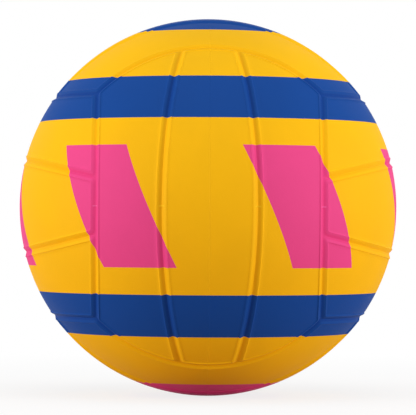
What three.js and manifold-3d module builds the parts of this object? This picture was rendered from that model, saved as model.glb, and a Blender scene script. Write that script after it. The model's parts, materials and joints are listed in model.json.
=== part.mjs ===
// A size 5 water polo ball of moulded rubber, in millimetres, with +Z up and the origin at its centre.
// The grip cover has 18 raised strips in six faces of three, laid out like the faces of a cube. The
// channels between them bare the base layer, and a thread winding, an air bladder and a valve lie inside.
import * as THREE from "three";
import { mergeVertices } from "three/addons/utils/BufferGeometryUtils.js";
import Module from "manifold-3d";

const wasm = await Module();
wasm.setup();

// The ball and its layers
const BALL_RADIUS = 110;
const STRIP_THICKNESS = 0.7;
const BASE_THICKNESS = 0.8;
const WINDING_THICKNESS = 0.4;
const BLADDER_THICKNESS = 0.8;
const BOND_GAP = 0.3;

// The strips of the cover, the channels between them and the small lips beside each channel
const CHANNEL_WIDTH = 4.4;
const INNER_SEAM_DEGREES = 14;
const LIP_WIDTH = 1.4;
const LIP_HEIGHT = 0.25;
const EDGE_DROP = 0.15;
const BLANK_DEPTH = 5; // how far a strip's blank reaches below its seat before the seat cuts it

// The valve, in the middle of the back
const BOSS_RADIUS = 6;
const FLANGE_RADIUS = 15;
const FLANGE_THICKNESS = 1.5;
const SLEEVE_WALL = 1.8;
const SLEEVE_LENGTH = 12;
const VALVE_RECESS = 0.2;
const CORE_LENGTH = 20;
const CORE_HEAD_RADIUS = 4;
const CORE_HEAD_THICKNESS = 1.5;
const CORE_STEM_RADIUS = 2.5;
const CORE_TIP_RADIUS = 1.5;
const CORE_TIP_LENGTH = 2;
const CORE_CLEARANCE = 0.3;
const NEEDLE_RADIUS = 0.5;
const NEEDLE_MOUTH_RADIUS = 1.2;
const NEEDLE_MOUTH_DEPTH = 1.5;
const NEEDLE_DEPTH = 12;

// How finely the round surfaces are divided
const STRIP_LENGTH_SEGMENTS = 14;
const MIDDLE_WIDTH_SEGMENTS = 4;
const SIDE_WIDTH_SEGMENTS = 3;
const SHELL_EDGE_SEGMENTS = 6;
const TURNED_SEGMENTS = 24;

// Radii of the layers, from the outside in
const layerUnder = (radius, thickness) => ({
  outer: radius - BOND_GAP,
  inner: radius - BOND_GAP - thickness,
});
const seatRadius = BALL_RADIUS - STRIP_THICKNESS;
const base = layerUnder(seatRadius, BASE_THICKNESS);
const winding = layerUnder(base.inner, WINDING_THICKNESS);
const bladder = layerUnder(winding.inner, BLADDER_THICKNESS);

// Materials
const rubber = (color) => new THREE.MeshStandardMaterial({ color, roughness: 0.7, metalness: 0 });
const materials = {
  cover: rubber(0xf5be1d),
  base: rubber(0xe0a81c),
  thread: new THREE.MeshStandardMaterial({ color: 0xe6e0cf, roughness: 0.9, metalness: 0 }),
  butyl: rubber(0x26262a),
};

// A closed geometry as a solid that can be joined and cut.
function toSolid(geometry) {
  const bare = new THREE.BufferGeometry();
  bare.setAttribute("position", geometry.getAttribute("position"));
  bare.setIndex(geometry.index);
  const merged = mergeVertices(bare, 1e-4);
  return new wasm.Manifold(
    new wasm.Mesh({
      numProp: 3,
      vertProperties: merged.getAttribute("position").array,
      triVerts: new Uint32Array(merged.index.array),
    }),
  );
}

function toGeometry(solid) {
  const mesh = solid.getMesh();
  const geometry = new THREE.BufferGeometry();
  geometry.setAttribute("position", new THREE.BufferAttribute(mesh.vertProperties, 3));
  geometry.setIndex(new THREE.BufferAttribute(mesh.triVerts, 1));
  geometry.computeVertexNormals();
  return geometry;
}

const sphere = (radius) =>
  toSolid(new THREE.IcosahedronGeometry(radius, SHELL_EDGE_SEGMENTS - 1));

// A solid turned about the valve's axis, which is Y, from [radius, height] points.
function turned(profile) {
  const points = profile.map(([radius, height]) => new THREE.Vector2(radius, height));
  return toSolid(new THREE.LatheGeometry(points, TURNED_SEGMENTS));
}

const rod = (radius, low, high) =>
  turned([
    [0, low],
    [radius, low],
    [radius, high],
    [0, high],
  ]);

// Plane cuts of the unit sphere, each with a normal that points into the strip that it borders

// The cut moved into its strip by an angle.
const movedIn = (cut, angle) => ({
  normal: cut.normal,
  offset: Math.sin(Math.asin(cut.offset) + angle),
});

// The point where two cuts cross on the unit sphere, of the two the one that lies towards a direction.
function crossing(first, second, direction) {
  const cosine = first.normal.dot(second.normal);
  const share = 1 - cosine * cosine;
  const line = first.normal.clone().cross(second.normal);
  const foot = new THREE.Vector3()
    .addScaledVector(first.normal, (first.offset - second.offset * cosine) / share)
    .addScaledVector(second.normal, (second.offset - first.offset * cosine) / share);
  const reach = Math.sqrt((1 - foot.lengthSq()) / share);
  return foot.addScaledVector(line, reach * Math.sign(line.dot(direction)));
}

// The point a share of the way between two points of a cut, round the circle of the cut.
function alongCut(cut, from, to, share) {
  const centre = cut.normal.clone().multiplyScalar(cut.offset);
  const start = from.clone().sub(centre);
  const finish = to.clone().sub(centre);
  const axis = start.clone().cross(finish).normalize();
  return start.applyAxisAngle(axis, start.angleTo(finish) * share).add(centre);
}

// The strip's patch of the unit sphere with its edges moved in by an angle, as a function of the
// shares along and across the strip.
function patch(strip, angle) {
  const [low, high] = strip.sides.map((side) => movedIn(side, angle));
  const end = movedIn(strip.end, angle);
  const behind = strip.along.clone().negate();
  const [lowStart, highStart] = [low, high].map((side) => crossing(end, side, behind));
  const [lowFinish, highFinish] = [low, high].map((side) => crossing(end, side, strip.along));
  return (along, across) =>
    new THREE.Vector3()
      .addScaledVector(alongCut(low, lowStart, lowFinish, along), 1 - across)
      .addScaledVector(alongCut(high, highStart, highFinish, along), across)
      .addScaledVector(alongCut(end, lowStart, highStart, across), 1 - along)
      .addScaledVector(alongCut(end, lowFinish, highFinish, across), along)
      .addScaledVector(lowStart, -(1 - along) * (1 - across))
      .addScaledVector(highStart, -(1 - along) * across)
      .addScaledVector(lowFinish, -along * (1 - across))
      .addScaledVector(highFinish, -along * across)
      .normalize();
}

// The [row, column] steps round the border of a grid, turning from the rows towards the columns.
function borderOf(rows, columns) {
  const steps = [];
  for (let row = 0; row < rows; row++) steps.push([row, 0]);
  for (let column = 0; column < columns; column++) steps.push([rows, column]);
  for (let row = rows; row > 0; row--) steps.push([row, columns]);
  for (let column = columns; column > 0; column--) steps.push([0, column]);
  return steps;
}

// A strip's blank: its outer face, the lip and the edge round it, and walls down to below its seat.
function blankOf(strip) {
  const rows = STRIP_LENGTH_SEGMENTS;
  const columns = strip.widthSegments;
  const border = borderOf(rows, columns);
  const positions = [];
  const triangles = [];
  const addPoint = (direction, radius) =>
    positions.push(...direction.multiplyScalar(radius).toArray()) / 3 - 1;

  const angleOf = (inset) => (CHANNEL_WIDTH / 2 + inset) / BALL_RADIUS;
  const gridAt = (inset, radius) => {
    const point = patch(strip, angleOf(inset));
    return Array.from({ length: rows + 1 }, (_, row) =>
      Array.from({ length: columns + 1 }, (_, column) =>
        addPoint(point(row / rows, column / columns), radius),
      ),
    );
  };
  const ringAt = (inset, radius) => {
    const point = patch(strip, angleOf(inset));
    return border.map(([row, column]) => addPoint(point(row / rows, column / columns), radius));
  };

  const face = gridAt(LIP_WIDTH, BALL_RADIUS);
  const foot = gridAt(0, seatRadius - BLANK_DEPTH);
  for (let row = 0; row < rows; row++) {
    for (let column = 0; column < columns; column++) {
      const corners = (grid) => [
        grid[row][column],
        grid[row + 1][column],
        grid[row + 1][column + 1],
        grid[row][column + 1],
      ];
      const [a, b, c, d] = corners(face);
      triangles.push(a, b, c, a, c, d);
      const [e, f, g, h] = corners(foot);
      triangles.push(e, g, f, e, h, g);
    }
  }

  const rings = [
    border.map(([row, column]) => face[row][column]),
    ringAt(LIP_WIDTH / 2, BALL_RADIUS + LIP_HEIGHT),
    ringAt(0, BALL_RADIUS - EDGE_DROP),
    border.map(([row, column]) => foot[row][column]),
  ];
  for (let level = 1; level < rings.length; level++) {
    const [upper, lower] = [rings[level - 1], rings[level]];
    border.forEach((_, step) => {
      const next = (step + 1) % border.length;
      triangles.push(upper[step], lower[step], lower[next], upper[step], lower[next], upper[next]);
    });
  }

  const geometry = new THREE.BufferGeometry();
  geometry.setAttribute("position", new THREE.Float32BufferAttribute(positions, 3));
  geometry.setIndex(triangles);
  return toSolid(geometry);
}

// The six faces. Strips run along the first direction, and are named in the order across it.
const x = new THREE.Vector3(1, 0, 0);
const y = new THREE.Vector3(0, 1, 0);
const z = new THREE.Vector3(0, 0, 1);
const faces = [
  { name: "front", out: y.clone().negate(), along: z, strips: ["right", "middle", "left"] },
  { name: "back", out: y, along: z, strips: ["left", "middle", "right"] },
  { name: "top", out: z, along: x, strips: ["front", "middle", "back"] },
  { name: "bottom", out: z.clone().negate(), along: x, strips: ["back", "middle", "front"] },
  { name: "left", out: x.clone().negate(), along: y, strips: ["upper", "middle", "lower"] },
  { name: "right", out: x, along: y, strips: ["lower", "middle", "upper"] },
];

// The three strips of a face. Six flat cuts that meet at a cube's corners part the faces, and two
// cuts through the ball's centre part each face into its strips.
function stripsOf(face) {
  const cubeOffset = 1 / Math.sqrt(3);
  const across = face.out.clone().cross(face.along);
  const seam = THREE.MathUtils.degToRad(INNER_SEAM_DEGREES);
  const innerCut = (side, inwards) => ({
    normal: new THREE.Vector3()
      .addScaledVector(face.out, Math.sin(seam) * inwards)
      .addScaledVector(across, -side * Math.cos(seam) * inwards),
    offset: 0,
  });
  const outerCut = (side) => ({
    normal: across.clone().multiplyScalar(-side),
    offset: -cubeOffset,
  });
  const sides = [
    [outerCut(-1), innerCut(-1, -1)],
    [innerCut(-1, 1), innerCut(1, 1)],
    [innerCut(1, -1), outerCut(1)],
  ];
  return face.strips.map((name, index) => ({
    name: `panel_${face.name}_${name}`,
    along: face.along,
    end: { normal: face.out, offset: cubeOffset },
    sides: sides[index],
    widthSegments: name === "middle" ? MIDDLE_WIDTH_SEGMENTS : SIDE_WIDTH_SEGMENTS,
  }));
}

// Places along the valve's axis
const valveHoleRadius = BOSS_RADIUS + BOND_GAP;
const valveFace = Math.sqrt(BALL_RADIUS ** 2 - valveHoleRadius ** 2) - VALVE_RECESS;
const liningRadius = bladder.inner - BOND_GAP;
const flangeUnderside = Math.sqrt(liningRadius ** 2 - FLANGE_RADIUS ** 2) - FLANGE_THICKNESS;
const valveHole = rod(valveHoleRadius, 0, 2 * BALL_RADIUS);

// The valve boss: a neck through all the layers, a flange that fits the inside of the bladder, and a
// sleeve that grips the core.
function valveBoss() {
  const boreRadius = CORE_STEM_RADIUS + CORE_CLEARANCE;
  const pocketRadius = CORE_HEAD_RADIUS + CORE_CLEARANCE;
  const pocketFloor = valveFace - CORE_HEAD_THICKNESS - CORE_CLEARANCE;
  const sleeveEnd = flangeUnderside - SLEEVE_LENGTH;
  const neck = rod(BOSS_RADIUS, flangeUnderside, valveFace);
  const flange = rod(FLANGE_RADIUS, flangeUnderside, liningRadius).intersect(sphere(liningRadius));
  const sleeve = rod(boreRadius + SLEEVE_WALL, sleeveEnd, flangeUnderside + FLANGE_THICKNESS);
  const bore = rod(boreRadius, 0, 2 * BALL_RADIUS);
  const pocket = rod(pocketRadius, pocketFloor, 2 * BALL_RADIUS);
  return neck.add(flange).add(sleeve).subtract(bore).subtract(pocket);
}

// The self-sealing core: a plug with a flat head, a tapered tip and a blind passage for the needle.
function valveCore() {
  const tip = valveFace - CORE_LENGTH;
  const headUnderside = valveFace - CORE_HEAD_THICKNESS;
  return turned([
    [0, tip],
    [CORE_TIP_RADIUS, tip],
    [CORE_STEM_RADIUS, tip + CORE_TIP_LENGTH],
    [CORE_STEM_RADIUS, headUnderside],
    [CORE_HEAD_RADIUS, headUnderside],
    [CORE_HEAD_RADIUS, valveFace],
    [NEEDLE_MOUTH_RADIUS, valveFace],
    [NEEDLE_RADIUS, valveFace - NEEDLE_MOUTH_DEPTH],
    [NEEDLE_RADIUS, valveFace - NEEDLE_DEPTH],
    [0, valveFace - NEEDLE_DEPTH],
  ]);
}

// A closed layer of the ball, open only where the valve passes through it.
const shell = ({ outer, inner }) => sphere(outer).subtract(sphere(inner)).subtract(valveHole);

// The ball
const ball = new THREE.Group();
ball.name = "water_polo_ball";

function addPiece(name, solid, material) {
  const mesh = new THREE.Mesh(toGeometry(solid), material);
  mesh.name = name;
  ball.add(mesh);
}

const seat = sphere(seatRadius);
for (const strip of faces.flatMap(stripsOf)) {
  addPiece(strip.name, blankOf(strip).subtract(seat).subtract(valveHole), materials.cover);
}
addPiece("cover_base", shell(base), materials.base);
addPiece("thread_winding", shell(winding), materials.thread);
addPiece("bladder", shell(bladder), materials.butyl);
addPiece("valve_boss", valveBoss(), materials.butyl);
addPiece("valve_core", valveCore(), materials.butyl);

export default ball;
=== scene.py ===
"""An inflatable water polo ball of moulded rubber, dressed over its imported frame.

The cover is 18 raised strips with recessed channels between them, over a base layer, a thread winding,
an air bladder and a needle valve. All lengths are in metres, with +Z up and the ball's centre at the
origin. Two points nearer to each other than TOUCHING count as one.
"""

from __future__ import annotations

import json
import logging
import math
from collections.abc import Callable, Iterator, Sequence
from contextlib import contextmanager
from dataclasses import dataclass, field
from enum import Enum

import bmesh
import bpy
from bpy.types import Material, Node, NodeInputs, NodeSocket, NodeTree, Object
from mathutils import Matrix, Vector

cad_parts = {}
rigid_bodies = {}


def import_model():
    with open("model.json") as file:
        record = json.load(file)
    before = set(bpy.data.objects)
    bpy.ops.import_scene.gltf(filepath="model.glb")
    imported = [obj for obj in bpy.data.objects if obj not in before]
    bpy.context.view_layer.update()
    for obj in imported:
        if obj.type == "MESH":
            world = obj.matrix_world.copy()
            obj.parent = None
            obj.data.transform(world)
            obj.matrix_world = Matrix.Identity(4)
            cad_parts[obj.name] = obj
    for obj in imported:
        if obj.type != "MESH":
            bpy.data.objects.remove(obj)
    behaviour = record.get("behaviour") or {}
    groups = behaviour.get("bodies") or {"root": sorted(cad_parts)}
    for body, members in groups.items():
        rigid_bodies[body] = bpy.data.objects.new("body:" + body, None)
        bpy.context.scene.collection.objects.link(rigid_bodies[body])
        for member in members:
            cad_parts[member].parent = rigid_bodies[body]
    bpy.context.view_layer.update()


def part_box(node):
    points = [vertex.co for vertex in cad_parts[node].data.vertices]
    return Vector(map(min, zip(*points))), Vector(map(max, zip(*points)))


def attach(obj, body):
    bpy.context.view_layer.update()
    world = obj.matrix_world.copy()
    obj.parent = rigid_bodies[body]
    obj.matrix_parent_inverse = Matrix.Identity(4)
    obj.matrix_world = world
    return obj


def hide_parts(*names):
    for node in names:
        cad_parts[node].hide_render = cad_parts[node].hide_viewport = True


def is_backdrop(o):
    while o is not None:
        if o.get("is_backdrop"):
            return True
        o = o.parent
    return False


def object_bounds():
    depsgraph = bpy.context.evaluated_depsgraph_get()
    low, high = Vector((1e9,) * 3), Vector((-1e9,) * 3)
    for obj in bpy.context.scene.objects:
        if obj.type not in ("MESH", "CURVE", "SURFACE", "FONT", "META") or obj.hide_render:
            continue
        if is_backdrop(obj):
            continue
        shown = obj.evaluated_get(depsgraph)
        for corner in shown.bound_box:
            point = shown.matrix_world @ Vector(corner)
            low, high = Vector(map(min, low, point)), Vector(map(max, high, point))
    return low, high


LOG = logging.getLogger("water_polo_ball")
CENTRE = Vector((0.0, 0.0, 0.0))
UP = Vector((0.0, 0.0, 1.0))
MM = 0.001
TOUCHING = 0.01 * MM


class Slot(Enum):
    """The record's material slots."""

    COVER = "cover_rubber"
    BASE = "base_rubber"
    THREAD = "nylon_thread"
    BUTYL = "butyl_rubber"


class Side(Enum):
    """The six faces of the cover: name, outward direction, strip direction and strips across."""

    FRONT = ("front", (0, -1, 0), (0, 0, 1), ("right", "middle", "left"))
    BACK = ("back", (0, 1, 0), (0, 0, 1), ("left", "middle", "right"))
    TOP = ("top", (0, 0, 1), (1, 0, 0), ("front", "middle", "back"))
    BOTTOM = ("bottom", (0, 0, -1), (1, 0, 0), ("back", "middle", "front"))
    LEFT = ("left", (-1, 0, 0), (0, 1, 0), ("upper", "middle", "lower"))
    RIGHT = ("right", (1, 0, 0), (0, 1, 0), ("lower", "middle", "upper"))

    def __init__(
        self, label: str, out: tuple[int, ...], along: tuple[int, ...], strips: tuple[str, ...]
    ) -> None:
        """Keeps the parts of the member's value.

        Args:
            label: The face's name.
            out: The direction out of the ball through the face's middle.
            along: The direction in which the face's strips run.
            strips: The strips' names, in order across the face.
        """
        self.label = label
        self.out = Vector(out)
        self.along = Vector(along)
        self.strips = strips

    def turn(self, half_turn: bool) -> Matrix:
        """Gives the rotation from the top of the ball, where strips are modelled, to this face.

        Args:
            half_turn: Whether the strip is also turned half way round, to the other side of its face.

        Returns:
            The rotation as a 4 by 4 matrix.
        """
        across = self.out.cross(self.along)
        basis = Matrix((self.along, across, self.out)).transposed().to_4x4()
        return basis @ Matrix.Rotation(math.pi, 4, "Z") if half_turn else basis


def deselect_all() -> None:
    """Leaves no object selected, so that the next operator acts on its own piece alone."""
    bpy.ops.object.select_all(action="DESELECT")


def take(piece: Object) -> None:
    """Makes a piece the active object and the only selected one."""
    deselect_all()
    piece.select_set(True)
    bpy.context.view_layer.objects.active = piece


@contextmanager
def editing(piece: Object, mode: str) -> Iterator[None]:
    """Opens a piece in edit mode with nothing selected, and closes it again.

    Args:
        piece: The piece to work on.
        mode: What is selected: VERT or EDGE.

    Yields:
        Nothing, with the piece open.
    """
    take(piece)
    bpy.ops.object.mode_set(mode="EDIT")
    bpy.ops.mesh.select_mode(type=mode)
    bpy.ops.mesh.select_all(action="DESELECT")
    yield
    bpy.ops.object.mode_set(mode="OBJECT")


def pick(piece: Object, kind: str, wanted: Callable[[object], bool]) -> None:
    """Selects, in edit mode, the elements of a piece that pass a test.

    Args:
        piece: The piece that is open in edit mode.
        kind: Which elements to test: verts or edges.
        wanted: The test, on a bmesh element.
    """
    mesh = bmesh.from_edit_mesh(piece.data)
    mesh.normal_update()
    for element in getattr(mesh, kind):
        element.select_set(wanted(element))
    bmesh.update_edit_mesh(piece.data)


def apply_modifier(piece: Object, kind: str, **settings: object) -> None:
    """Adds a modifier to a piece and applies it.

    Args:
        piece: The piece to change.
        kind: The modifier's type.
        **settings: The modifier's settings, by name.
    """
    take(piece)
    modifier = piece.modifiers.new(kind.lower(), kind)
    for name, value in settings.items():
        setattr(modifier, name, value)
    bpy.ops.object.modifier_apply(modifier=modifier.name)


def smooth(piece: Object, degrees: float = 35.0) -> None:
    """Shades a piece smooth, apart from edges sharper than an angle."""
    take(piece)
    bpy.ops.object.shade_smooth_by_angle(angle=math.radians(degrees))


def add_object(name: str, data: bpy.types.ID) -> Object:
    """Adds an object to the scene.

    Args:
        name: Its name.
        data: The mesh, lamp or camera that it shows.

    Returns:
        The object.
    """
    item = bpy.data.objects.new(name, data)
    bpy.context.scene.collection.objects.link(item)
    return item


def turned_copy(pattern: Object, name: str, turn: Matrix) -> Object:
    """Adds a copy of a piece, with its own mesh, turned about the ball's centre.

    Args:
        pattern: The piece to copy.
        name: The copy's name.
        turn: The rotation, as a 4 by 4 matrix.

    Returns:
        The copy.
    """
    mesh = pattern.data.copy()
    mesh.transform(turn)
    return add_object(name, mesh)


def add_point(place: Vector) -> None:
    """Adds a single point, selected, to the piece that is open in edit mode."""
    bpy.ops.mesh.primitive_plane_add(size=MM)
    bpy.ops.mesh.merge(type="COLLAPSE")
    bpy.ops.transform.translate(value=place)


def bridge_open_edges(piece: Object) -> None:
    """Joins the two lines of a piece, open in edit mode, that still lack faces beside them."""
    bpy.ops.mesh.select_mode(type="EDGE")
    pick(piece, "edges", lambda edge: len(edge.link_faces) < 2)
    bpy.ops.mesh.bridge_edge_loops()


@dataclass(frozen=True)
class Layers:
    """Radii of the ball's layers, read from the frame.

    Attributes:
        ball: Outer radius of the cover.
        base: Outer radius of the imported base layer, under the strips and the channels.
        winding: Outer radius of the thread winding.
        bladder: Outer radius of the air bladder.
        bond: Gap between two layers.
        bladder_wall: Thickness of the bladder.
        floor_swell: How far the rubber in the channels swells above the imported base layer.
    """

    ball: float
    base: float
    winding: float
    bladder: float
    bond: float = 0.3 * MM
    bladder_wall: float = 0.8 * MM
    floor_swell: float = 0.2 * MM

    @classmethod
    def from_frame(cls) -> Layers:
        """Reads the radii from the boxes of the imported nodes."""
        low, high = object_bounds()
        radii = [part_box(node)[1].x for node in ("cover_base", "thread_winding", "bladder")]
        return cls((high[2] - low[2]) / 2, *radii)

    @property
    def floor(self) -> float:
        """Radius of the channels' floors."""
        return self.base + self.floor_swell

    @property
    def base_inner(self) -> float:
        """Inner radius of the base layer."""
        return self.winding + self.bond

    @property
    def winding_inner(self) -> float:
        """Inner radius of the thread winding."""
        return self.bladder + self.bond

    @property
    def bladder_inner(self) -> float:
        """Inner radius of the bladder."""
        return self.bladder - self.bladder_wall


@dataclass(frozen=True)
class Cut:
    """A flat cut through the ball that borders a strip.

    Attributes:
        normal: The cut's normal, which points into the strip.
        offset: How far the cut lies from the centre along its normal, as a share of the ball's radius.
    """

    normal: Vector
    offset: float

    def moved_in(self, angle: float) -> Cut:
        """Gives the cut moved into its strip by an angle."""
        return Cut(self.normal, math.sin(math.asin(self.offset) + angle))

    def crossing(self, other: Cut, direction: Vector) -> Vector:
        """Finds where two cuts cross on a ball of radius 1.

        Args:
            other: The other cut.
            direction: Which of the two crossings is meant: the one that lies this way.

        Returns:
            The crossing.
        """
        cosine = self.normal.dot(other.normal)
        share = 1 - cosine * cosine
        line = self.normal.cross(other.normal)
        foot = self.normal * ((self.offset - other.offset * cosine) / share)
        foot += other.normal * ((other.offset - self.offset * cosine) / share)
        reach = math.sqrt((1 - foot.length_squared) / share)
        return foot + line * math.copysign(reach, line.dot(direction))

    def spin_along(self, start: Vector, finish: Vector, radius: float, steps: int) -> None:
        """Draws the cut's circle in edit mode, from the selected point to another.

        Args:
            start: Direction of the selected point, on a ball of radius 1.
            finish: Direction of the point to reach.
            radius: The ball's radius.
            steps: How many edges to draw.
        """
        centre = self.normal * self.offset
        first, last = start - centre, finish - centre
        bpy.ops.mesh.spin(
            steps=steps,
            angle=first.angle(last),
            center=centre * radius,
            axis=last.cross(first).normalized(),
            dupli=False,
        )


@dataclass(frozen=True)
class Ring:
    """One closed line round a strip, on the way from its outer face over its edge to its foot.

    Attributes:
        inset: How far the line lies inside the strip's wall.
        rise: How far it lies above the ball's nominal surface.
    """

    inset: float
    rise: float

    def eased_to(self, other: Ring, steps: int, roundness: float) -> list[Ring]:
        """Gives the lines of a slope with rounded ends, from this line to another.

        Args:
            other: The line at the slope's far end, which is the last of those given.
            steps: How many lines to give.
            roundness: 1 for a slope that starts and ends level, 0 for a straight one.

        Returns:
            The lines, without this one.
        """
        slope = []
        for step in range(1, steps + 1):
            share = step / steps
            eased = (1 - math.cos(math.pi * share)) / 2
            drop = share + (eased - share) * roundness
            inset = self.inset + (other.inset - self.inset) * share
            slope.append(Ring(inset, self.rise + (other.rise - self.rise) * drop))
        return slope


@dataclass
class CoverStrips:
    """The 18 raised strips of the cover, with a small lip and a slanting wall beside each channel.

    Attributes:
        layers: Radii of the ball's layers.
        channel_width: Width of a channel between the walls of its strips.
        seam_angle: Angle from the middle of a face to each seam between its strips.
        corner_radius: Radius of a strip's corners, seen from outside.
        corner_spread: How much that radius grows for each unit that a line lies outside the wall.
        sharpest_corner: Radius that the corners of the inmost line keep.
        lip_width: Width of the lip along a strip's edge.
        lip_height: How far the lip stands above the strip.
        crest: How far the top of the lip lies inside the strip's wall.
        foot: How far the wall spreads into the channel where it meets the base layer.
        sunk: How far a strip reaches into the base layer, into which it is cured.
        wall_roundness: How round the wall's ends are: 1 for a soft wave, 0 for a flat wall.
        lip_steps: Divisions from the strip's face to the top of the lip.
        wall_steps: Divisions from the top of the lip to the floor.
        steps_along: Divisions along a strip.
        steps_middle: Divisions across a middle strip.
        steps_outer: Divisions across an outer strip.
        corner_steps: Divisions round a corner.
        evening_rounds: How often the grid of a face is evened out.
    """

    layers: Layers
    channel_width: float = 4.4 * MM
    seam_angle: float = math.radians(14)
    corner_radius: float = 1.2 * MM
    corner_spread: float = 0.5
    sharpest_corner: float = 0.2 * MM
    lip_width: float = 1.15 * MM
    lip_height: float = 0.4 * MM
    crest: float = 0.5 * MM
    foot: float = 2.1 * MM
    sunk: float = 0.05 * MM
    wall_roundness: float = 0.35
    lip_steps: int = 4
    wall_steps: int = 9
    steps_along: int = 64
    steps_middle: int = 16
    steps_outer: int = 12
    corner_steps: int = 4
    evening_rounds: int = 30

    @property
    def edge_profile(self) -> list[Ring]:
        """The lines from the border of a strip's face over its lip and its wall down to its foot."""
        face, top = Ring(self.lip_width, 0), Ring(self.crest, self.lip_height)
        foot = Ring(-self.foot, self.layers.floor - self.layers.ball)
        return [
            face,
            *face.eased_to(top, self.lip_steps, 1),
            *top.eased_to(foot, self.wall_steps, self.wall_roundness),
            Ring(foot.inset - self.sunk, foot.rise - self.sunk),
        ]

    def cuts(self, middle: bool, inset: float) -> tuple[Cut, Cut, Cut]:
        """Gives the cuts that border a strip on top of the ball.

        The cuts at the borders of a face go through the edges of a cube whose corners lie on the ball.

        Args:
            middle: Whether it is the middle strip of its face.
            inset: How far the cuts lie inside the strip's wall.

        Returns:
            The cut on the strip's low side across, the one on its high side and the one at its ends.
        """
        cube_face = 1 / math.sqrt(3)
        across = Vector((0, 1, 0))
        seam_rise, seam_run = UP * math.sin(self.seam_angle), across * math.cos(self.seam_angle)
        if middle:
            low, high = Cut(seam_rise + seam_run, 0), Cut(seam_rise - seam_run, 0)
        else:
            low, high = Cut(seam_run - seam_rise, 0), Cut(-across, -cube_face)
        angle = (self.channel_width / 2 + inset) / self.layers.ball
        return low.moved_in(angle), high.moved_in(angle), Cut(UP, cube_face).moved_in(angle)

    def draw_ring(self, piece: Object, middle: bool, ring: Ring) -> None:
        """Draws a closed line round a strip, side by side, and rounds its corners.

        Args:
            piece: The piece, open in edit mode, to which the line is added.
            middle: Whether it is the middle strip of its face.
            ring: Which line to draw.
        """
        low, high, end = self.cuts(middle, ring.inset)
        ahead = Vector((1, 0, 0))
        corners = [
            end.crossing(low, -ahead),
            end.crossing(low, ahead),
            end.crossing(high, ahead),
            end.crossing(high, -ahead),
        ]
        steps_across = self.steps_middle if middle else self.steps_outer
        radius = self.layers.ball + ring.rise
        add_point(corners[0] * radius)
        for index, cut in enumerate((low, end, high, end)):
            steps = steps_across if cut is end else self.steps_along
            cut.spin_along(corners[index], corners[(index + 1) % len(corners)], radius, steps)
        bpy.ops.mesh.select_linked()
        bpy.ops.mesh.remove_doubles(threshold=TOUCHING)
        bpy.ops.mesh.select_mode(type="VERT")
        pick(
            piece,
            "verts",
            lambda vert: any((vert.co - corner * radius).length < TOUCHING for corner in corners),
        )
        spread = self.corner_spread * ring.inset
        rounding = max(self.corner_radius - spread, self.sharpest_corner)
        bpy.ops.mesh.bevel(offset=rounding, segments=self.corner_steps, affect="VERTICES")

    def patch(self, name: str, middle: bool, ring: Ring) -> Object:
        """Models the curved patch that a line encloses.

        Args:
            name: The piece's name.
            middle: Whether it is the middle strip of its face.
            ring: The line round the patch.

        Returns:
            The patch, whose every point lies on a ball.
        """
        low, high, end = self.cuts(middle, ring.inset)
        radius = self.layers.ball + ring.rise

        def on_a_side(edge: bmesh.types.BMEdge) -> bool:
            """Tells whether an edge is nearer to a side of the strip than to its ends."""
            place = (edge.verts[0].co + edge.verts[1].co) / 2 / radius
            side = min(place.dot(cut.normal) - cut.offset for cut in (low, high))
            return side < place.dot(end.normal) - end.offset

        piece = add_object(name, bpy.data.meshes.new(name))
        with editing(piece, "VERT"):
            self.draw_ring(piece, middle, ring)
            bpy.ops.mesh.select_mode(type="EDGE")
            pick(piece, "edges", on_a_side)
            bpy.ops.mesh.fill_grid(use_interp_simple=True)
            bpy.ops.mesh.select_mode(type="VERT")
            pick(piece, "verts", lambda vert: not vert.is_boundary)
            bpy.ops.mesh.vertices_smooth(factor=0.5, repeat=self.evening_rounds)
        settings = {"cast_type": "SPHERE", "use_radius_as_size": False, "radius": 0.0}
        apply_modifier(piece, "CAST", factor=1.0, size=radius, **settings)
        return piece

    def model(self, middle: bool) -> Object:
        """Models one strip on top of the ball: its face, lip, edge and wall, and its underside.

        Args:
            middle: Whether it is the middle strip of its face.

        Returns:
            The strip, as one closed form.
        """
        face_border, *rings, underside_border = self.edge_profile
        piece = self.patch("strip_pattern", middle, face_border)
        for ring in rings:
            with editing(piece, "VERT"):
                self.draw_ring(piece, middle, ring)
                bridge_open_edges(piece)
        underside = self.patch("strip_underside", middle, underside_border)
        take(piece)
        underside.select_set(True)
        bpy.ops.object.join()
        with editing(piece, "EDGE"):
            bridge_open_edges(piece)
            bpy.ops.mesh.select_all(action="SELECT")
            bpy.ops.mesh.normals_make_consistent(inside=False)
        smooth(piece)
        return piece

    def build(self) -> dict[str, Object]:
        """Models a middle and an outer strip, and copies them to all the faces.

        Returns:
            The 18 strips, by the names of the nodes that they stand for.
        """
        patterns = {middle: self.model(middle) for middle in (True, False)}
        strips: dict[str, Object] = {}
        for side in Side:
            for index, label in enumerate(side.strips):
                turn = side.turn(half_turn=index == 0)
                strip = turned_copy(patterns[label == "middle"], f"strip_{side.label}_{label}", turn)
                strips[f"panel_{side.label}_{label}"] = strip
        for pattern in patterns.values():
            bpy.data.objects.remove(pattern)
        return strips


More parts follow.
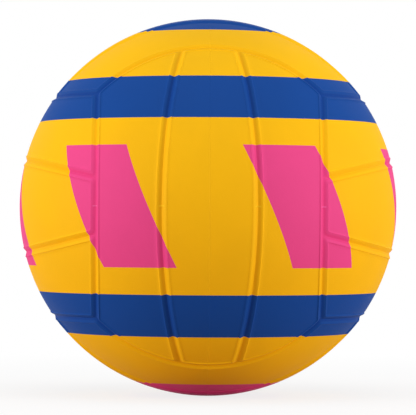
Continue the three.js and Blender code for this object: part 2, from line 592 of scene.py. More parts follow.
@dataclass
class Valve:
    """The needle valve in the middle of the back: a rubber boss and the core that it grips.

    Attributes:
        layers: Radii of the ball's layers.
        hole_radius: Radius of the hole through the layers.
        neck_radius: Outer radius of the boss at the ball's surface.
        flange_thickness: Thickness of the flange at its rim.
        sleeve_radius: Outer radius of the sleeve.
        bore_radius: Radius of the bore that holds the core's stem.
        pocket_radius: Radius of the pocket that holds the core's head.
        pocket_depth: Depth of that pocket.
        stem_radius: Radius of the core's stem.
        head_thickness: Thickness of the core's head.
        tip_radius: Radius of the core's tip.
        tip_length: Length of the taper at the core's tip.
        needle_radius: Radius of the needle's passage.
        mouth_radius: Radius of the passage's mouth.
        mouth_depth: Depth of the mouth's cone.
        needle_depth: Depth of the passage.
        boss_edge: Width of the rounding on the boss's edges.
        core_edge: Width of the rounding on the core's edges.
        rim_rounding: Radius of the rim round the hole in the strip.
        rim_band: How far below the ball's surface that rim is looked for.
        sharp: Least angle at an edge that is rounded.
        edge_steps: Divisions across a rounding.
        arc_steps: Divisions of the flange's arched top.
        steps: Divisions round the valve.
    """

    layers: Layers
    hole_radius: float = 6.3 * MM
    neck_radius: float = 6.0 * MM
    flange_thickness: float = 1.5 * MM
    sleeve_radius: float = 4.6 * MM
    bore_radius: float = 2.8 * MM
    pocket_radius: float = 4.3 * MM
    pocket_depth: float = 1.8 * MM
    stem_radius: float = 2.5 * MM
    head_thickness: float = 1.5 * MM
    tip_radius: float = 1.5 * MM
    tip_length: float = 2.0 * MM
    needle_radius: float = 0.5 * MM
    mouth_radius: float = 1.2 * MM
    mouth_depth: float = 1.5 * MM
    needle_depth: float = 12.0 * MM
    boss_edge: float = 0.2 * MM
    core_edge: float = 0.12 * MM
    rim_rounding: float = 0.3 * MM
    rim_band: float = 0.35 * MM
    sharp: float = math.radians(40)
    edge_steps: int = 3
    arc_steps: int = 4
    steps: int = 72

    def turned(self, name: str, profile: Sequence[tuple[float, float]], edge: float) -> Object:
        """Turns a profile about the valve's axis, and rounds its sharp edges.

        Args:
            name: The piece's name.
            profile: Radius and height of each point, in order, closed or from the axis back to it.
            edge: Width of the rounding.

        Returns:
            The piece.
        """
        points = [Vector((radius, height, 0)) for radius, height in profile]
        piece = add_object(name, bpy.data.meshes.new(name))
        with editing(piece, "VERT"):
            add_point(points[0])
            for here, there in zip(points, points[1:]):
                bpy.ops.mesh.extrude_region_move(TRANSFORM_OT_translate={"value": there - here})
            bpy.ops.mesh.select_all(action="SELECT")
            bpy.ops.mesh.spin(
                steps=self.steps, angle=math.tau, center=CENTRE, axis=(0, 1, 0), dupli=False
            )
            bpy.ops.mesh.select_all(action="SELECT")
            bpy.ops.mesh.remove_doubles(threshold=TOUCHING)
            bpy.ops.mesh.normals_make_consistent(inside=False)
        settings = {"segments": self.edge_steps, "limit_method": "ANGLE", "angle_limit": self.sharp}
        apply_modifier(piece, "BEVEL", width=edge, **settings)
        smooth(piece)
        return piece

    def boss(self) -> Object:
        """Models the boss: neck, flange against the inside of the bladder, and sleeve."""
        low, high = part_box("valve_boss")
        face, sleeve_end, flange_radius = high.y, low.y, high.x
        lining = self.layers.bladder_inner - self.layers.bond
        step = (self.neck_radius - flange_radius) / self.arc_steps
        reach = [flange_radius + step * index for index in range(self.arc_steps + 1)]
        flange_top = [(radius, math.sqrt(lining**2 - radius**2)) for radius in reach]
        underside = flange_top[0][1] - self.flange_thickness
        profile = [
            (self.bore_radius, sleeve_end),
            (self.sleeve_radius, sleeve_end),
            (self.sleeve_radius, underside),
            (flange_radius, underside),
            *flange_top,
            (self.neck_radius, face),
            (self.pocket_radius, face),
            (self.pocket_radius, face - self.pocket_depth),
            (self.bore_radius, face - self.pocket_depth),
            (self.bore_radius, sleeve_end),
        ]
        return self.turned("valve_seat", profile, self.boss_edge)

    def core(self) -> Object:
        """Models the core: a flat head, a stem with a tapered tip and a blind needle passage."""
        low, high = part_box("valve_core")
        face, tip, head_radius = high.y, low.y, high.x
        profile = [
            (0, tip),
            (self.tip_radius, tip),
            (self.stem_radius, tip + self.tip_length),
            (self.stem_radius, face - self.head_thickness),
            (head_radius, face - self.head_thickness),
            (head_radius, face),
            (self.mouth_radius, face),
            (self.needle_radius, face - self.mouth_depth),
            (self.needle_radius, face - self.needle_depth),
            (0, face - self.needle_depth),
        ]
        return self.turned("needle_plug", profile, self.core_edge)

    def cut_hole(self, piece: Object) -> None:
        """Cuts the valve's hole through a piece.

        Args:
            piece: The layer or strip to cut.
        """
        deselect_all()
        bpy.ops.mesh.primitive_cylinder_add(
            vertices=self.steps,
            radius=self.hole_radius,
            depth=self.layers.ball,
            location=(0, self.layers.ball, 0),
            rotation=(math.pi / 2, 0, 0),
        )
        drill = bpy.context.object
        apply_modifier(piece, "BOOLEAN", operation="DIFFERENCE", solver="EXACT", object=drill)
        bpy.data.objects.remove(drill)

    def round_rim(self, piece: Object) -> None:
        """Rounds the outer rim of the valve's hole.

        Args:
            piece: The piece that has the hole.
        """
        outside = self.layers.ball - self.rim_band

        def on_the_rim(edge: bmesh.types.BMEdge) -> bool:
            """Tells whether an edge lies on the hole's outer rim."""
            return all(
                abs(math.hypot(vert.co.x, vert.co.z) - self.hole_radius) < TOUCHING
                and vert.co.y > outside
                for vert in edge.verts
            )

        with editing(piece, "EDGE"):
            pick(piece, "edges", on_the_rim)
            bpy.ops.mesh.bevel(offset=self.rim_rounding, segments=self.edge_steps, affect="EDGES")
        smooth(piece)


@dataclass
class InnerLayers:
    """The closed layers under the strips: base, thread winding and bladder.

    Attributes:
        layers: Radii of the ball's layers.
        valve: The valve, which cuts its hole through each layer.
        rib_width: Width of the moulding line round a layer.
        base_rib: Height of that line on the base layer.
        bladder_rib: Height of that line on the bladder.
        fineness: Subdivisions of the sphere that a layer starts from.
        sharpest_smooth: Sharpest edge, in degrees, that is shaded smooth.
        threads: How many turns of thread there are, with those that the valve's hole leaves out.
        thread_radius: Radius of such a thread.
        thread_steps: Divisions along a turn of thread.
        thread_sides: Divisions round a thread.
        thread_smooth: Sharpest edge of a thread, in degrees, that is shaded smooth.
        valve_gap: Least distance from a thread's middle to the rim of the valve's hole.
    """

    layers: Layers
    valve: Valve
    rib_width: float = 0.8 * MM
    base_rib: float = 0.35 * MM
    bladder_rib: float = 0.15 * MM
    fineness: int = 6
    sharpest_smooth: float = 12.0
    threads: int = 130
    thread_radius: float = 0.2 * MM
    thread_steps: int = 96
    thread_sides: int = 6
    thread_smooth: float = 70.0
    valve_gap: float = 0.5 * MM

    def sphere(self, name: str, radius: float) -> Object:
        """Adds a sphere of even facets, named for its layer."""
        deselect_all()
        bpy.ops.mesh.primitive_ico_sphere_add(subdivisions=self.fineness, radius=radius)
        piece = bpy.context.object
        piece.name = name
        piece.data.name = name
        return piece

    def raise_moulding_line(self, piece: Object, radius: float, height: float) -> None:
        """Raises the fine line that the two halves of a mould leave round a layer.

        Args:
            piece: The layer's sphere.
            radius: The sphere's radius.
            height: How far the line stands out.
        """
        with editing(piece, "VERT"):
            for level in (-self.rib_width / 2, 0, self.rib_width / 2):
                bpy.ops.mesh.select_all(action="SELECT")
                bpy.ops.mesh.bisect(plane_co=(0, 0, level), plane_no=UP)
            pick(piece, "verts", lambda vert: abs(vert.co.z) < TOUCHING)
            bpy.ops.transform.resize(value=(1 + height / radius,) * 3, center_override=CENTRE)

    def shell(self, name: str, outer: float, inner: float, rib_height: float) -> Object:
        """Models one closed layer with the valve's hole in it.

        Args:
            name: The piece's name.
            outer: The layer's outer radius.
            inner: The layer's inner radius.
            rib_height: Height of the moulding line round it, or 0 for none.

        Returns:
            The layer.
        """
        piece = self.sphere(name, outer)
        if rib_height:
            self.raise_moulding_line(piece, outer, rib_height)
        apply_modifier(piece, "SOLIDIFY", thickness=outer - inner, offset=-1.0)
        self.valve.cut_hole(piece)
        smooth(piece, self.sharpest_smooth)
        return piece

    def turns_of_thread(self) -> list[Vector]:
        """Spreads the turns of thread evenly over all directions, clear of the valve's hole.

        Returns:
            The axis of each turn.
        """
        golden_angle = math.pi * (3 - math.sqrt(5))
        clearance = self.valve.hole_radius + self.valve_gap
        axes = []
        for index in range(self.threads):
            height = (index + 0.5) / self.threads
            across = math.sqrt(1 - height**2)
            angle = index * golden_angle
            axis = Vector((across * math.cos(angle), across * math.sin(angle), height))
            if abs(axis.y) * self.layers.winding > clearance:
                axes.append(axis)
        return axes

    def winding(self) -> Object:
        """Models the thread winding: a closed layer with turns of thread laid over it.

        Returns:
            The layer.
        """
        middle = self.layers.winding - self.thread_radius
        piece = self.shell("winding_layer", middle, self.layers.winding_inner, 0)
        deselect_all()
        bpy.ops.mesh.primitive_torus_add(
            major_segments=self.thread_steps,
            minor_segments=self.thread_sides,
            major_radius=middle,
            minor_radius=self.thread_radius,
        )
        pattern = bpy.context.object
        smooth(pattern, self.thread_smooth)
        deselect_all()
        for axis in self.turns_of_thread():
            turn = UP.rotation_difference(axis).to_matrix().to_4x4()
            turned_copy(pattern, "thread", turn).select_set(True)
        bpy.data.objects.remove(pattern)
        piece.select_set(True)
        bpy.context.view_layer.objects.active = piece
        bpy.ops.object.join()
        return piece

    def build(self) -> dict[str, Object]:
        """Models the three layers.

        Returns:
            The layers, by the names of the nodes that they stand for.
        """
        radii = self.layers
        return {
            "cover_base": self.shell("base_layer", radii.floor, radii.base_inner, self.base_rib),
            "thread_winding": self.winding(),
            "bladder": self.shell("air_bladder", radii.bladder, radii.bladder_inner, self.bladder_rib),
        }


Colour = tuple[float, ...]
Feed = NodeSocket | float | Colour


class Wiring:
    """A node tree at work, with short ways to add nodes and join them."""

    def __init__(self, tree: NodeTree) -> None:
        """Takes the tree to work on."""
        self.tree = tree

    def feed(self, sockets: NodeInputs, values: dict[str | int, Feed]) -> None:
        """Joins sockets to others, or sets their values.

        Args:
            sockets: A node's inputs.
            values: What each gets, by name or number.
        """
        for name, value in values.items():
            if isinstance(value, NodeSocket):
                self.tree.links.new(value, sockets[name])
            else:
                sockets[name].default_value = value

    def add(self, kind: str, values: dict[str | int, Feed], **settings: object) -> Node:
        """Adds a node.

        Args:
            kind: The node's type.
            values: What its inputs get, by name or number.
            **settings: The node's settings, by name.

        Returns:
            The node.
        """
        node = self.tree.nodes.new(kind)
        for name, value in settings.items():
            setattr(node, name, value)
        self.feed(node.inputs, values)
        return node

    def math(self, operation: str, *values: Feed, clamp: bool = False) -> NodeSocket:
        """Adds a Math node.

        Args:
            operation: What it does.
            *values: Its inputs, in order.
            clamp: Whether the result stays between 0 and 1.

        Returns:
            Its output.
        """
        inputs = dict(enumerate(values))
        return self.add("ShaderNodeMath", inputs, operation=operation, use_clamp=clamp).outputs[0]

    def mix(self, share: Feed, first: Feed, second: Feed, blend: str = "MIX") -> NodeSocket:
        """Mixes two colours.

        Args:
            share: How much of the second colour there is.
            first: The first colour.
            second: The second colour.
            blend: How they are mixed.

        Returns:
            The mixed colour.
        """
        # The Mix node's colours go by number, because its sockets share their names.
        inputs = {"Factor": share, 6: first, 7: second}
        return self.add("ShaderNodeMix", inputs, data_type="RGBA", blend_type=blend).outputs[2]

    def length(self, vector: NodeSocket) -> NodeSocket:
        """Gives the length of a vector."""
        return self.add("ShaderNodeVectorMath", {0: vector}, operation="LENGTH").outputs["Value"]

    def part(self, vector: NodeSocket, axis: str) -> NodeSocket:
        """Gives a vector's X, Y or Z."""
        return self.add("ShaderNodeSeparateXYZ", {0: vector}).outputs[axis]

    def above(self, value: Feed, limit: Feed, edge: float) -> NodeSocket:
        """Gives a mask that is 1 where a value is over a limit.

        Args:
            value: The value.
            limit: The limit.
            edge: Width of its soft edge.

        Returns:
            The mask.
        """
        over = self.math("SUBTRACT", value, limit)
        return self.math("MULTIPLY_ADD", over, 1 / edge, 0.5, clamp=True)

    def band(self, value: Feed, half_width: float, edge: float) -> NodeSocket:
        """Gives a mask that is 1 where a value is nearer to 0 than a half width."""
        return self.above(half_width, self.math("ABSOLUTE", value), edge)

    def seen(self) -> NodeSocket:
        """Gives 1 for rays that show what they meet, also by way of gloss or glass, and 0 for light.

        Returns:
            The mask.
        """
        rays = self.add("ShaderNodeLightPath", {}).outputs
        straight = self.math("MAXIMUM", rays["Is Camera Ray"], rays["Is Glossy Ray"])
        return self.math("MAXIMUM", straight, rays["Is Transmission Ray"])


def new_group(
    name: str, inputs: dict[str, str], outputs: dict[str, str]
) -> tuple[NodeTree, Node, Node]:
    """Makes an empty shader node group.

    Args:
        name: The group's name.
        inputs: Socket type of each input, by name.
        outputs: Socket type of each output, by name.

    Returns:
        The group, its input node and its output node.
    """
    group = bpy.data.node_groups.new(name, "ShaderNodeTree")
    for in_out, sockets in (("INPUT", inputs), ("OUTPUT", outputs)):
        for socket, kind in sockets.items():
            group.interface.new_socket(name=socket, in_out=in_out, socket_type=kind)
    return group, group.nodes.new("NodeGroupInput"), group.nodes.new("NodeGroupOutput")


@dataclass(frozen=True)
class PrintLayout:
    """The generic print: two level hoops, a cap at each end and a row of leaning blocks between.

    Every angle is measured from the ball's centre, in radians.

    Attributes:
        hoop_latitude: Latitude of the middle of each hoop.
        hoop_half_width: Half a hoop's width.
        cap_latitude: Latitude where each cap begins.
        blocks: How many blocks stand round the ball.
        block_half_width: Half a block's width.
        block_half_height: Half a block's height.
        block_lean: How far a block's sides lean for each unit of latitude.
        edge: Width of the print's soft edge.
    """

    hoop_latitude: float = math.radians(34)
    hoop_half_width: float = math.radians(7.5)
    cap_latitude: float = math.radians(67)
    blocks: int = 6
    block_half_width: float = math.radians(12)
    block_half_height: float = math.radians(18)
    block_lean: float = 0.45
    edge: float = 0.0012

    def group(self) -> NodeTree:
        """Builds the node group that paints the print.

        Returns:
            A group that takes a place on the ball and three colours, and puts out the printed colour.
        """
        colour = "NodeSocketColor"
        tree, given, result = new_group(
            "printed_hoops",
            {"Place": "NodeSocketVector", "Ground": colour, "Hoops": colour, "Blocks": colour},
            {"Colour": colour},
        )
        nodes = Wiring(tree)
        place = given.outputs["Place"]
        direction = nodes.add("ShaderNodeVectorMath", {0: place}, operation="NORMALIZE").outputs[0]
        latitude = nodes.math("ARCSINE", nodes.part(direction, "Z"))
        ahead = nodes.math("MULTIPLY", nodes.part(direction, "Y"), -1)
        longitude = nodes.math("ARCTAN2", nodes.part(direction, "X"), ahead)

        from_hoop = nodes.math("SUBTRACT", nodes.math("ABSOLUTE", latitude), self.hoop_latitude)
        hoops = nodes.band(from_hoop, self.hoop_half_width, self.edge)
        top_cap = nodes.above(latitude, self.cap_latitude, self.edge)
        blue = nodes.math("MAXIMUM", hoops, top_cap)

        spacing = math.tau / self.blocks
        leaning = nodes.math("MULTIPLY_ADD", latitude, self.block_lean, longitude)
        turn = nodes.math("FRACT", nodes.math("MULTIPLY_ADD", leaning, 1 / spacing, self.blocks))
        from_block = nodes.math("MULTIPLY_ADD", turn, spacing, -spacing / 2)
        beside = nodes.band(from_block, self.block_half_width, self.edge)
        level = nodes.band(latitude, self.block_half_height, self.edge)
        blocks = nodes.math("MINIMUM", beside, level)
        below = nodes.math("MULTIPLY", latitude, -1)
        pink = nodes.math("MAXIMUM", blocks, nodes.above(below, self.cap_latitude, self.edge))

        painted = nodes.mix(blue, given.outputs["Ground"], given.outputs["Hoops"])
        nodes.feed(result.inputs, {"Colour": nodes.mix(pink, painted, given.outputs["Blocks"])})
        return tree


@dataclass(frozen=True)
class RubberGrain:
    """The fine surface of moulded rubber: small round grains over soft unevenness.

    Attributes:
        smoothness: How softly the grains run into each other.
        soft_noise: Scale and detail of the unevenness, in features per metre.
        soft_share: Share of the unevenness in the height.
        slow_noise: Scale and detail of the slow variation.
    """

    smoothness: float = 0.6
    soft_noise: tuple[float, float] = (260.0, 3.0)
    soft_share: float = 0.35
    slow_noise: tuple[float, float] = (40.0, 4.0)

    def group(self) -> NodeTree:
        """Builds the node group that gives the grain.

        Returns:
            A group that takes a place and a grain scale, and puts out a height and a slow variation.
        """
        value = "NodeSocketFloat"
        tree, given, result = new_group(
            "rubber_grain",
            {"Place": "NodeSocketVector", "Grains per metre": value},
            {"Height": value, "Variation": value},
        )
        nodes = Wiring(tree)
        place, scale = given.outputs["Place"], given.outputs["Grains per metre"]
        inputs = {"Vector": place, "Scale": scale, "Smoothness": self.smoothness}
        grains = nodes.add("ShaderNodeTexVoronoi", inputs, feature="SMOOTH_F1")
        soft, slow = (
            nodes.add("ShaderNodeTexNoise", {"Vector": place, "Scale": size, "Detail": detail})
            for size, detail in (self.soft_noise, self.slow_noise)
        )
        domes = nodes.math("SUBTRACT", 1, grains.outputs["Distance"])
        height = nodes.math("MULTIPLY_ADD", soft.outputs["Fac"], self.soft_share, domes)
        nodes.feed(result.inputs, {"Height": height, "Variation": slow.outputs["Fac"]})
        return tree


class Finish:
    """A material at work: its wiring, its Principled shader and the object coordinates."""

    def __init__(self, name: str) -> None:
        """Makes the material, with one Principled shader."""
        self.material = bpy.data.materials.new(name)
        self.material.use_nodes = True
        tree = self.material.node_tree
        self.nodes = Wiring(tree)
        self.shader = tree.nodes["Principled BSDF"]
        self.place = self.nodes.add("ShaderNodeTexCoord", {}).outputs["Object"]

    def group(self, tree: NodeTree, values: dict[str, Feed]) -> Node:
        """Places a node group that reads the object coordinates.

        Args:
            tree: The node group.
            values: Its other inputs, by name.

        Returns:
            The group's node.
        """
        return self.nodes.add("ShaderNodeGroup", {"Place": self.place, **values}, node_tree=tree)

    def spread(self, pattern: NodeSocket, middle: float, width: float) -> NodeSocket:
        """Turns a pattern from 0 to 1 into a value spread about a middle.

        Args:
            pattern: The pattern.
            middle: The value's middle.
            width: How far apart its least and greatest are.

        Returns:
            The value.
        """
        return self.nodes.math("MULTIPLY_ADD", pattern, width, middle - width / 2)

    def surface(self, colour: Feed, roughness: Feed, height: Feed, depth: float) -> Material:
        """Joins what varies over the surface to the shader.

        Args:
            colour: The base colour.
            roughness: The roughness.
            height: The pattern that raises the surface.
            depth: Depth of that pattern in metres.

        Returns:
            The finished material.
        """
        bump = self.nodes.add("ShaderNodeBump", {"Height": height, "Distance": depth})
        inputs = {"Base Color": colour, "Roughness": roughness, "Normal": bump.outputs["Normal"]}
        self.nodes.feed(self.shader.inputs, inputs)
        return self.material


@dataclass(frozen=True)
class PrintedRubber:
    """Matte grip rubber with the print on it, for the strips and the floors of the channels.

    Attributes:
        name: The material's name.
        ground: Colour of the bare rubber.
        hoops: Colour of the hoops and of the top cap.
        blocks: Colour of the blocks and of the bottom cap.
        roughness: Middle of the roughness range.
        roughness_width: Width of that range.
        shade_width: How far apart the lightest and the darkest places are.
        grains_per_metre: How fine the grip grain is.
        grain_depth: Depth of the grain.
        specular: Specular level.
        painted_shade_power: Painted shade over the whole colour, as a power; 1 paints none.
        painted_crease_shade: Painted shade at the foot of a channel's walls, where real shade falls,
            as an added power.
        crease_shade_rise: Height above the floor where that painted shade is darkest.
        crease_shade_reach: How far above and below that height the painted shade reaches.
        ridge_tone: How much paler the colour is made on the moulding line in the channels, as a power.
        ridge_half_width: Half the width of that paler line.
        ridge_fade: How far below a strip's face the line has faded in.
        parting_half_width: Half the width of the faint line upright round the ball, from the mould.
        parting_rise: Height of that line, in depths of the grain.
    """

    name: str
    layers: Layers
    ground: Colour = (0.92, 0.50, 0.004, 1.0)
    hoops: Colour = (0.006, 0.060, 0.285, 1.0)
    blocks: Colour = (0.80, 0.068, 0.255, 1.0)
    roughness: float = 0.64
    roughness_width: float = 0.16
    shade_width: float = 0.1
    grains_per_metre: float = 1500.0
    grain_depth: float = 0.03 * MM
    specular: float = 0.08
    painted_shade_power: float = 1.0
    painted_crease_shade: float = 0.09
    crease_shade_rise: float = 0.25 * MM
    crease_shade_reach: float = 0.4 * MM
    ridge_tone: float = 0.3
    ridge_half_width: float = 0.35 * MM
    ridge_fade: float = 0.1 * MM
    parting_half_width: float = 0.35 * MM
    parting_rise: float = 4.0

    def power(self, finish: Finish) -> NodeSocket:
        """Gives the power that paints shade at the foot of the channels' walls and over the whole
        piece, and makes the colour paler on the moulding line.

        Args:
            finish: The material at work.

        Returns:
            The power.
        """
        nodes = finish.nodes
        radius = nodes.length(finish.place)
        away = nodes.math("SUBTRACT", radius, self.layers.floor + self.crease_shade_rise)
        away = nodes.math("ABSOLUTE", away)
        # Painted shade: the colour darkens towards the foot of the channels' walls, by distance from
        # the centre, where shade falls in the creases.
        crease_shade_mask = nodes.math("MULTIPLY_ADD", away, -1 / self.crease_shade_reach, 1.0, clamp=True)

        height = nodes.part(finish.place, "Z")
        line = nodes.band(height, self.ridge_half_width, self.ridge_half_width)
        face = nodes.above(radius, self.layers.ball - self.ridge_fade, self.ridge_fade)
        ridge = nodes.math("MULTIPLY", line, nodes.math("SUBTRACT", 1, face))
        # Painted shade power: the shade at the foot of the walls on top of the shade over the whole
        # piece.
        shade_power = nodes.math("MULTIPLY_ADD", crease_shade_mask, self.painted_crease_shade, self.painted_shade_power)
        return nodes.math("MULTIPLY_ADD", ridge, -self.ridge_tone, shade_power)

    def material(self, layout: NodeTree, grain: NodeTree) -> Material:
        """Builds the material.

        Args:
            layout: The print's node group.
            grain: The grain's node group.

        Returns:
            The material.
        """
        finish = Finish(self.name)
        nodes = finish.nodes
        inks = {"Ground": self.ground, "Hoops": self.hoops, "Blocks": self.blocks}
        printed = finish.group(layout, inks)
        texture = finish.group(grain, {"Grains per metre": self.grains_per_metre})
        variation = texture.outputs["Variation"]
        shade = finish.spread(variation, 1.0, self.shade_width)
        grey = nodes.add("ShaderNodeCombineXYZ", dict.fromkeys(range(3), shade)).outputs[0]
        # The Gamma node paints the shade into the print's colour, and makes it paler on the moulding
        # line.
        inputs = {"Color": printed.outputs["Colour"], "Gamma": self.power(finish)}
        shaded_colour = nodes.add("ShaderNodeGamma", inputs).outputs[0]
        colour = nodes.mix(1.0, shaded_colour, grey, "MULTIPLY")
        roughness = finish.spread(variation, self.roughness, self.roughness_width)
        side = nodes.part(finish.place, "X")
        parting = nodes.band(side, self.parting_half_width, self.parting_half_width)
        height = nodes.math("MULTIPLY_ADD", parting, self.parting_rise, texture.outputs["Height"])
        nodes.feed(finish.shader.inputs, {"Specular IOR Level": self.specular})
        return finish.surface(colour, roughness, height, self.grain_depth)


@dataclass(frozen=True)
class PlainRubber:
    """Smooth black rubber, for the bladder and the valve.

    Attributes:
        name: The material's name.
        colour: The rubber's colour.
        bloom: Colour of the pale bloom that such rubber carries in places.
        roughness: Middle of the roughness range.
        roughness_width: Width of that range.
        grains_per_metre: How fine its grain is.
        grain_depth: Depth of the grain.
    """

    name: str
    colour: Colour = (0.018, 0.018, 0.02, 1.0)
    bloom: Colour = (0.05, 0.05, 0.052, 1.0)
    roughness: float = 0.5
    roughness_width: float = 0.2
    grains_per_metre: float = 2500.0
    grain_depth: float = 0.02 * MM

    def material(self, grain: NodeTree) -> Material:
        """Builds the material.

        Args:
            grain: The grain's node group.

        Returns:
            The material.
        """
        finish = Finish(self.name)
        texture = finish.group(grain, {"Grains per metre": self.grains_per_metre})
        variation = texture.outputs["Variation"]
        colour = finish.nodes.mix(variation, self.colour, self.bloom)
        roughness = finish.spread(variation, self.roughness, self.roughness_width)
        return finish.surface(colour, roughness, texture.outputs["Height"], self.grain_depth)


@dataclass(frozen=True)
class WoundThread:
    """Nylon thread wound in many directions over the bladder.

    Attributes:
        name: The material's name.
        thread: Colour of the thread.
        shadow: Colour between the threads.
        turns: How each crossed set of threads is turned about X, Y and Z, in radians.
        threads_per_metre: How closely the threads lie.
        waver: How far the threads stray from straight lines.
        depth: Depth between the threads.
        roughness: Roughness between the threads.
        shine: How much smoother the threads are.
        wave_angle: Angle that a Wave texture runs through for each unit of its scale, in radians.
    """

    name: str = "wound_nylon"
    thread: Colour = (0.78, 0.74, 0.62, 1.0)
    shadow: Colour = (0.42, 0.38, 0.30, 1.0)
    turns: tuple[tuple[float, ...], ...] = ((0.4, 0.2, 0.1), (1.5, 0.9, 0.3), (2.3, 0.3, 1.7))
    threads_per_metre: float = 1100.0
    waver: float = 0.6
    depth: float = 0.15 * MM
    roughness: float = 0.7
    shine: float = 0.2
    wave_angle: float = 20.0

    def material(self) -> Material:
        """Builds the material from three crossed sets of thread lines."""
        finish = Finish(self.name)
        nodes = finish.nodes
        height: Feed = 0.0
        scale = self.threads_per_metre * math.tau / self.wave_angle
        for turn in self.turns:
            place = nodes.add("ShaderNodeMapping", {"Vector": finish.place, "Rotation": turn})
            inputs = {"Vector": place.outputs[0], "Scale": scale, "Distortion": self.waver}
            lines = nodes.add("ShaderNodeTexWave", inputs, bands_direction="X")
            height = nodes.math("MAXIMUM", height, lines.outputs["Fac"])
        colour = nodes.mix(height, self.shadow, self.thread)
        roughness = nodes.math("MULTIPLY_ADD", height, -self.shine, self.roughness)
        return finish.surface(colour, roughness, height, self.depth)


@dataclass
class Lamp:
    """A soft rectangular lamp that faces the ball.

    Attributes:
        name: The lamp's name.
        place: Where it stands.
        size: Its width and height.
        power: Its power in watts.
    """

    name: str
    place: Vector
    size: tuple[float, float]
    power: float

    def build(self) -> None:
        """Adds the lamp to the scene."""
        light = bpy.data.lights.new(self.name, "AREA")
        light.shape = "RECTANGLE"
        light.size, light.size_y = self.size
        light.energy = self.power
        lamp = add_object(self.name, light)
        lamp.location = self.place
        lamp.rotation_euler = (CENTRE - self.place).to_track_quat("-Z", "Y").to_euler()


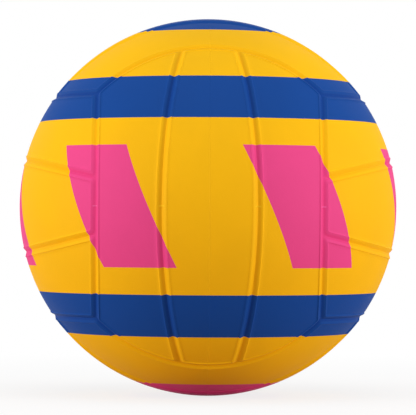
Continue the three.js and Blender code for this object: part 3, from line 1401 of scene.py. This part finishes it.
@dataclass
class Studio:
    """The camera, the pale floor and the soft light round the ball.

    Attributes:
        layers: Radii of the ball's layers.
        photo_width: Width of the photograph in pixels.
        ball_radius_pixels: Radius of the ball in the photograph, in pixels.
        camera_distance: Distance from the camera to the ball's centre, in ball radii.
        camera_turn: How far the camera stands round to the left of the ball's front.
        camera_dip: How far it stands below the level of the ball's centre, as an angle.
        camera_roll: How far it is rolled about its view.
        sensor: Width of the camera's sensor, in millimetres.
        floor_size: Width of the floor.
        floor_pale: The floor's own colour, where the ball's shadow falls.
        floor_shade: The warm colour with which the floor lights the ball from below.
        floor_white: How much of what the camera sees of the floor beside the ball is plain white.
        floor_fade: Distance at which the floor has faded into the background.
        world_light: Strength of the light from all round.
        lamps: The lamps.
    """

    layers: Layers
    photo_width: int = 416
    ball_radius_pixels: float = 188.35
    camera_distance: float = 15.0
    camera_turn: float = math.radians(0.55)
    camera_dip: float = math.radians(0.4)
    camera_roll: float = math.radians(0.3)
    sensor: float = 36.0
    floor_size: float = 30.0
    floor_pale: Colour = (0.95, 0.95, 0.95, 1.0)
    floor_shade: Colour = (0.61, 0.435, 0.425, 1.0)
    floor_white: float = 0.8
    floor_fade: float = 0.6
    world_light: float = 0.52
    lamps: list[Lamp] = field(
        default_factory=lambda: [
            Lamp("left_panel", Vector((-1.27, -0.46, 0.1)), (0.35, 0.4), 8.9),
            Lamp("right_panel", Vector((1.27, -0.46, 0.1)), (0.35, 0.4), 8.9),
            Lamp("top_panel", Vector((0.0, -0.5, 1.4)), (1.2, 0.9), 7.0),
        ]
    )

    def add_camera(self) -> None:
        """Adds the camera in front of the ball, at the photograph's scale."""
        distance = self.camera_distance * self.layers.ball
        focal_pixels = self.ball_radius_pixels * math.sqrt(self.camera_distance**2 - 1)
        data = bpy.data.cameras.new("photo_camera")
        data.sensor_fit = "HORIZONTAL"
        data.sensor_width = self.sensor
        data.lens = focal_pixels * self.sensor / self.photo_width
        camera = add_object("photo_camera", data)
        turn = Matrix.Rotation(-self.camera_turn, 3, "Z")
        roll = Matrix.Rotation(self.camera_roll, 3, "Z")
        stand = turn @ Matrix.Rotation(self.camera_dip, 3, "X")
        camera.location = stand @ Vector((0, -distance, 0))
        camera.rotation_euler = (stand @ Matrix.Rotation(math.pi / 2, 3, "X") @ roll).to_euler()
        bpy.context.scene.camera = camera

    def add_floor(self) -> None:
        """Adds the pale floor, which keeps the ball's shadow and fades into the white background."""
        deselect_all()
        bpy.ops.mesh.primitive_plane_add(size=self.floor_size, location=(0, 0, -self.layers.ball))
        floor = bpy.context.object
        floor.name = "floor"
        material = bpy.data.materials.new("pale_floor")
        material.use_nodes = True
        nodes = Wiring(material.node_tree)
        place = nodes.add("ShaderNodeTexCoord", {}).outputs["Object"]
        inputs = {
            "Value": nodes.length(place),
            "From Min": self.layers.ball,
            "From Max": self.floor_fade,
            "To Min": self.floor_white,
            "To Max": 1.0,
        }
        fade = nodes.add("ShaderNodeMapRange", inputs, interpolation_type="SMOOTHSTEP")
        ray = nodes.seen()
        colour = nodes.mix(ray, self.floor_shade, self.floor_pale)
        matte = nodes.add("ShaderNodeBsdfDiffuse", {"Color": colour}).outputs[0]
        white = nodes.add("ShaderNodeEmission", {}).outputs[0]
        share = nodes.math("MULTIPLY", ray, fade.outputs["Result"])
        blend = nodes.add("ShaderNodeMixShader", {"Fac": share, 1: matte, 2: white}).outputs[0]
        nodes.feed(material.node_tree.nodes["Material Output"].inputs, {"Surface": blend})
        floor.data.materials.append(material)
        floor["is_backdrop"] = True

    def add_world(self) -> None:
        """Adds the light from all round, which looks white to the camera."""
        world = bpy.data.worlds.new("studio")
        world.use_nodes = True
        bpy.context.scene.world = world
        nodes = Wiring(world.node_tree)
        strength = nodes.math("MULTIPLY_ADD", nodes.seen(), 1 - self.world_light, self.world_light)
        inputs = {"Color": (1.0, 1.0, 1.0, 1.0), "Strength": strength}
        nodes.feed(world.node_tree.nodes["Background"].inputs, inputs)

    def build(self) -> None:
        """Sets up the whole studio."""
        bpy.context.scene.view_settings.view_transform = "Standard"
        self.add_camera()
        self.add_floor()
        self.add_world()
        for lamp in self.lamps:
            lamp.build()


def dress(piece: Object, node: str, slot: Slot, material: Material, body: str = "ball") -> None:
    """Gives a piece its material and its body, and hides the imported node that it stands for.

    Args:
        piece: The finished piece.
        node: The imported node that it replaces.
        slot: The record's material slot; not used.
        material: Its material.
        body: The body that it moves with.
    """
    piece.data.materials.clear()
    piece.data.materials.append(material)
    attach(piece, body)
    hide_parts(node)
    LOG.info("%s stands for %s, %d faces", piece.name, node, len(piece.data.polygons))


def main() -> None:
    """Builds the ball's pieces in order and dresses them."""
    logging.basicConfig(level=logging.INFO, format="%(message)s")
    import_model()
    layers = Layers.from_frame()
    Studio(layers).build()

    grain = RubberGrain().group()
    layout = PrintLayout().group()
    cover = PrintedRubber("printed_grip_rubber", layers).material(layout, grain)
    # The base layer shows only on the channels' floors; its power of 1.1 paints shade over them.
    base_finish = PrintedRubber(
        "printed_base_rubber", layers, roughness=0.6, painted_shade_power=1.1, painted_crease_shade=0.0
    )
    base = base_finish.material(layout, grain)
    butyl = PlainRubber("butyl").material(grain)
    thread = WoundThread().material()

    valve = Valve(layers)
    for node, strip in CoverStrips(layers).build().items():
        if node == "panel_back_middle":
            valve.cut_hole(strip)
            valve.round_rim(strip)
        dress(strip, node, Slot.COVER, cover)
    finishes = {
        "cover_base": (Slot.BASE, base),
        "thread_winding": (Slot.THREAD, thread),
        "bladder": (Slot.BUTYL, butyl),
    }
    for node, layer in InnerLayers(layers, valve).build().items():
        dress(layer, node, *finishes[node])
    dress(valve.boss(), "valve_boss", Slot.BUTYL, butyl)
    dress(valve.core(), "valve_core", Slot.BUTYL, butyl, body="valve_core")


if __name__ == "__main__":
    main()
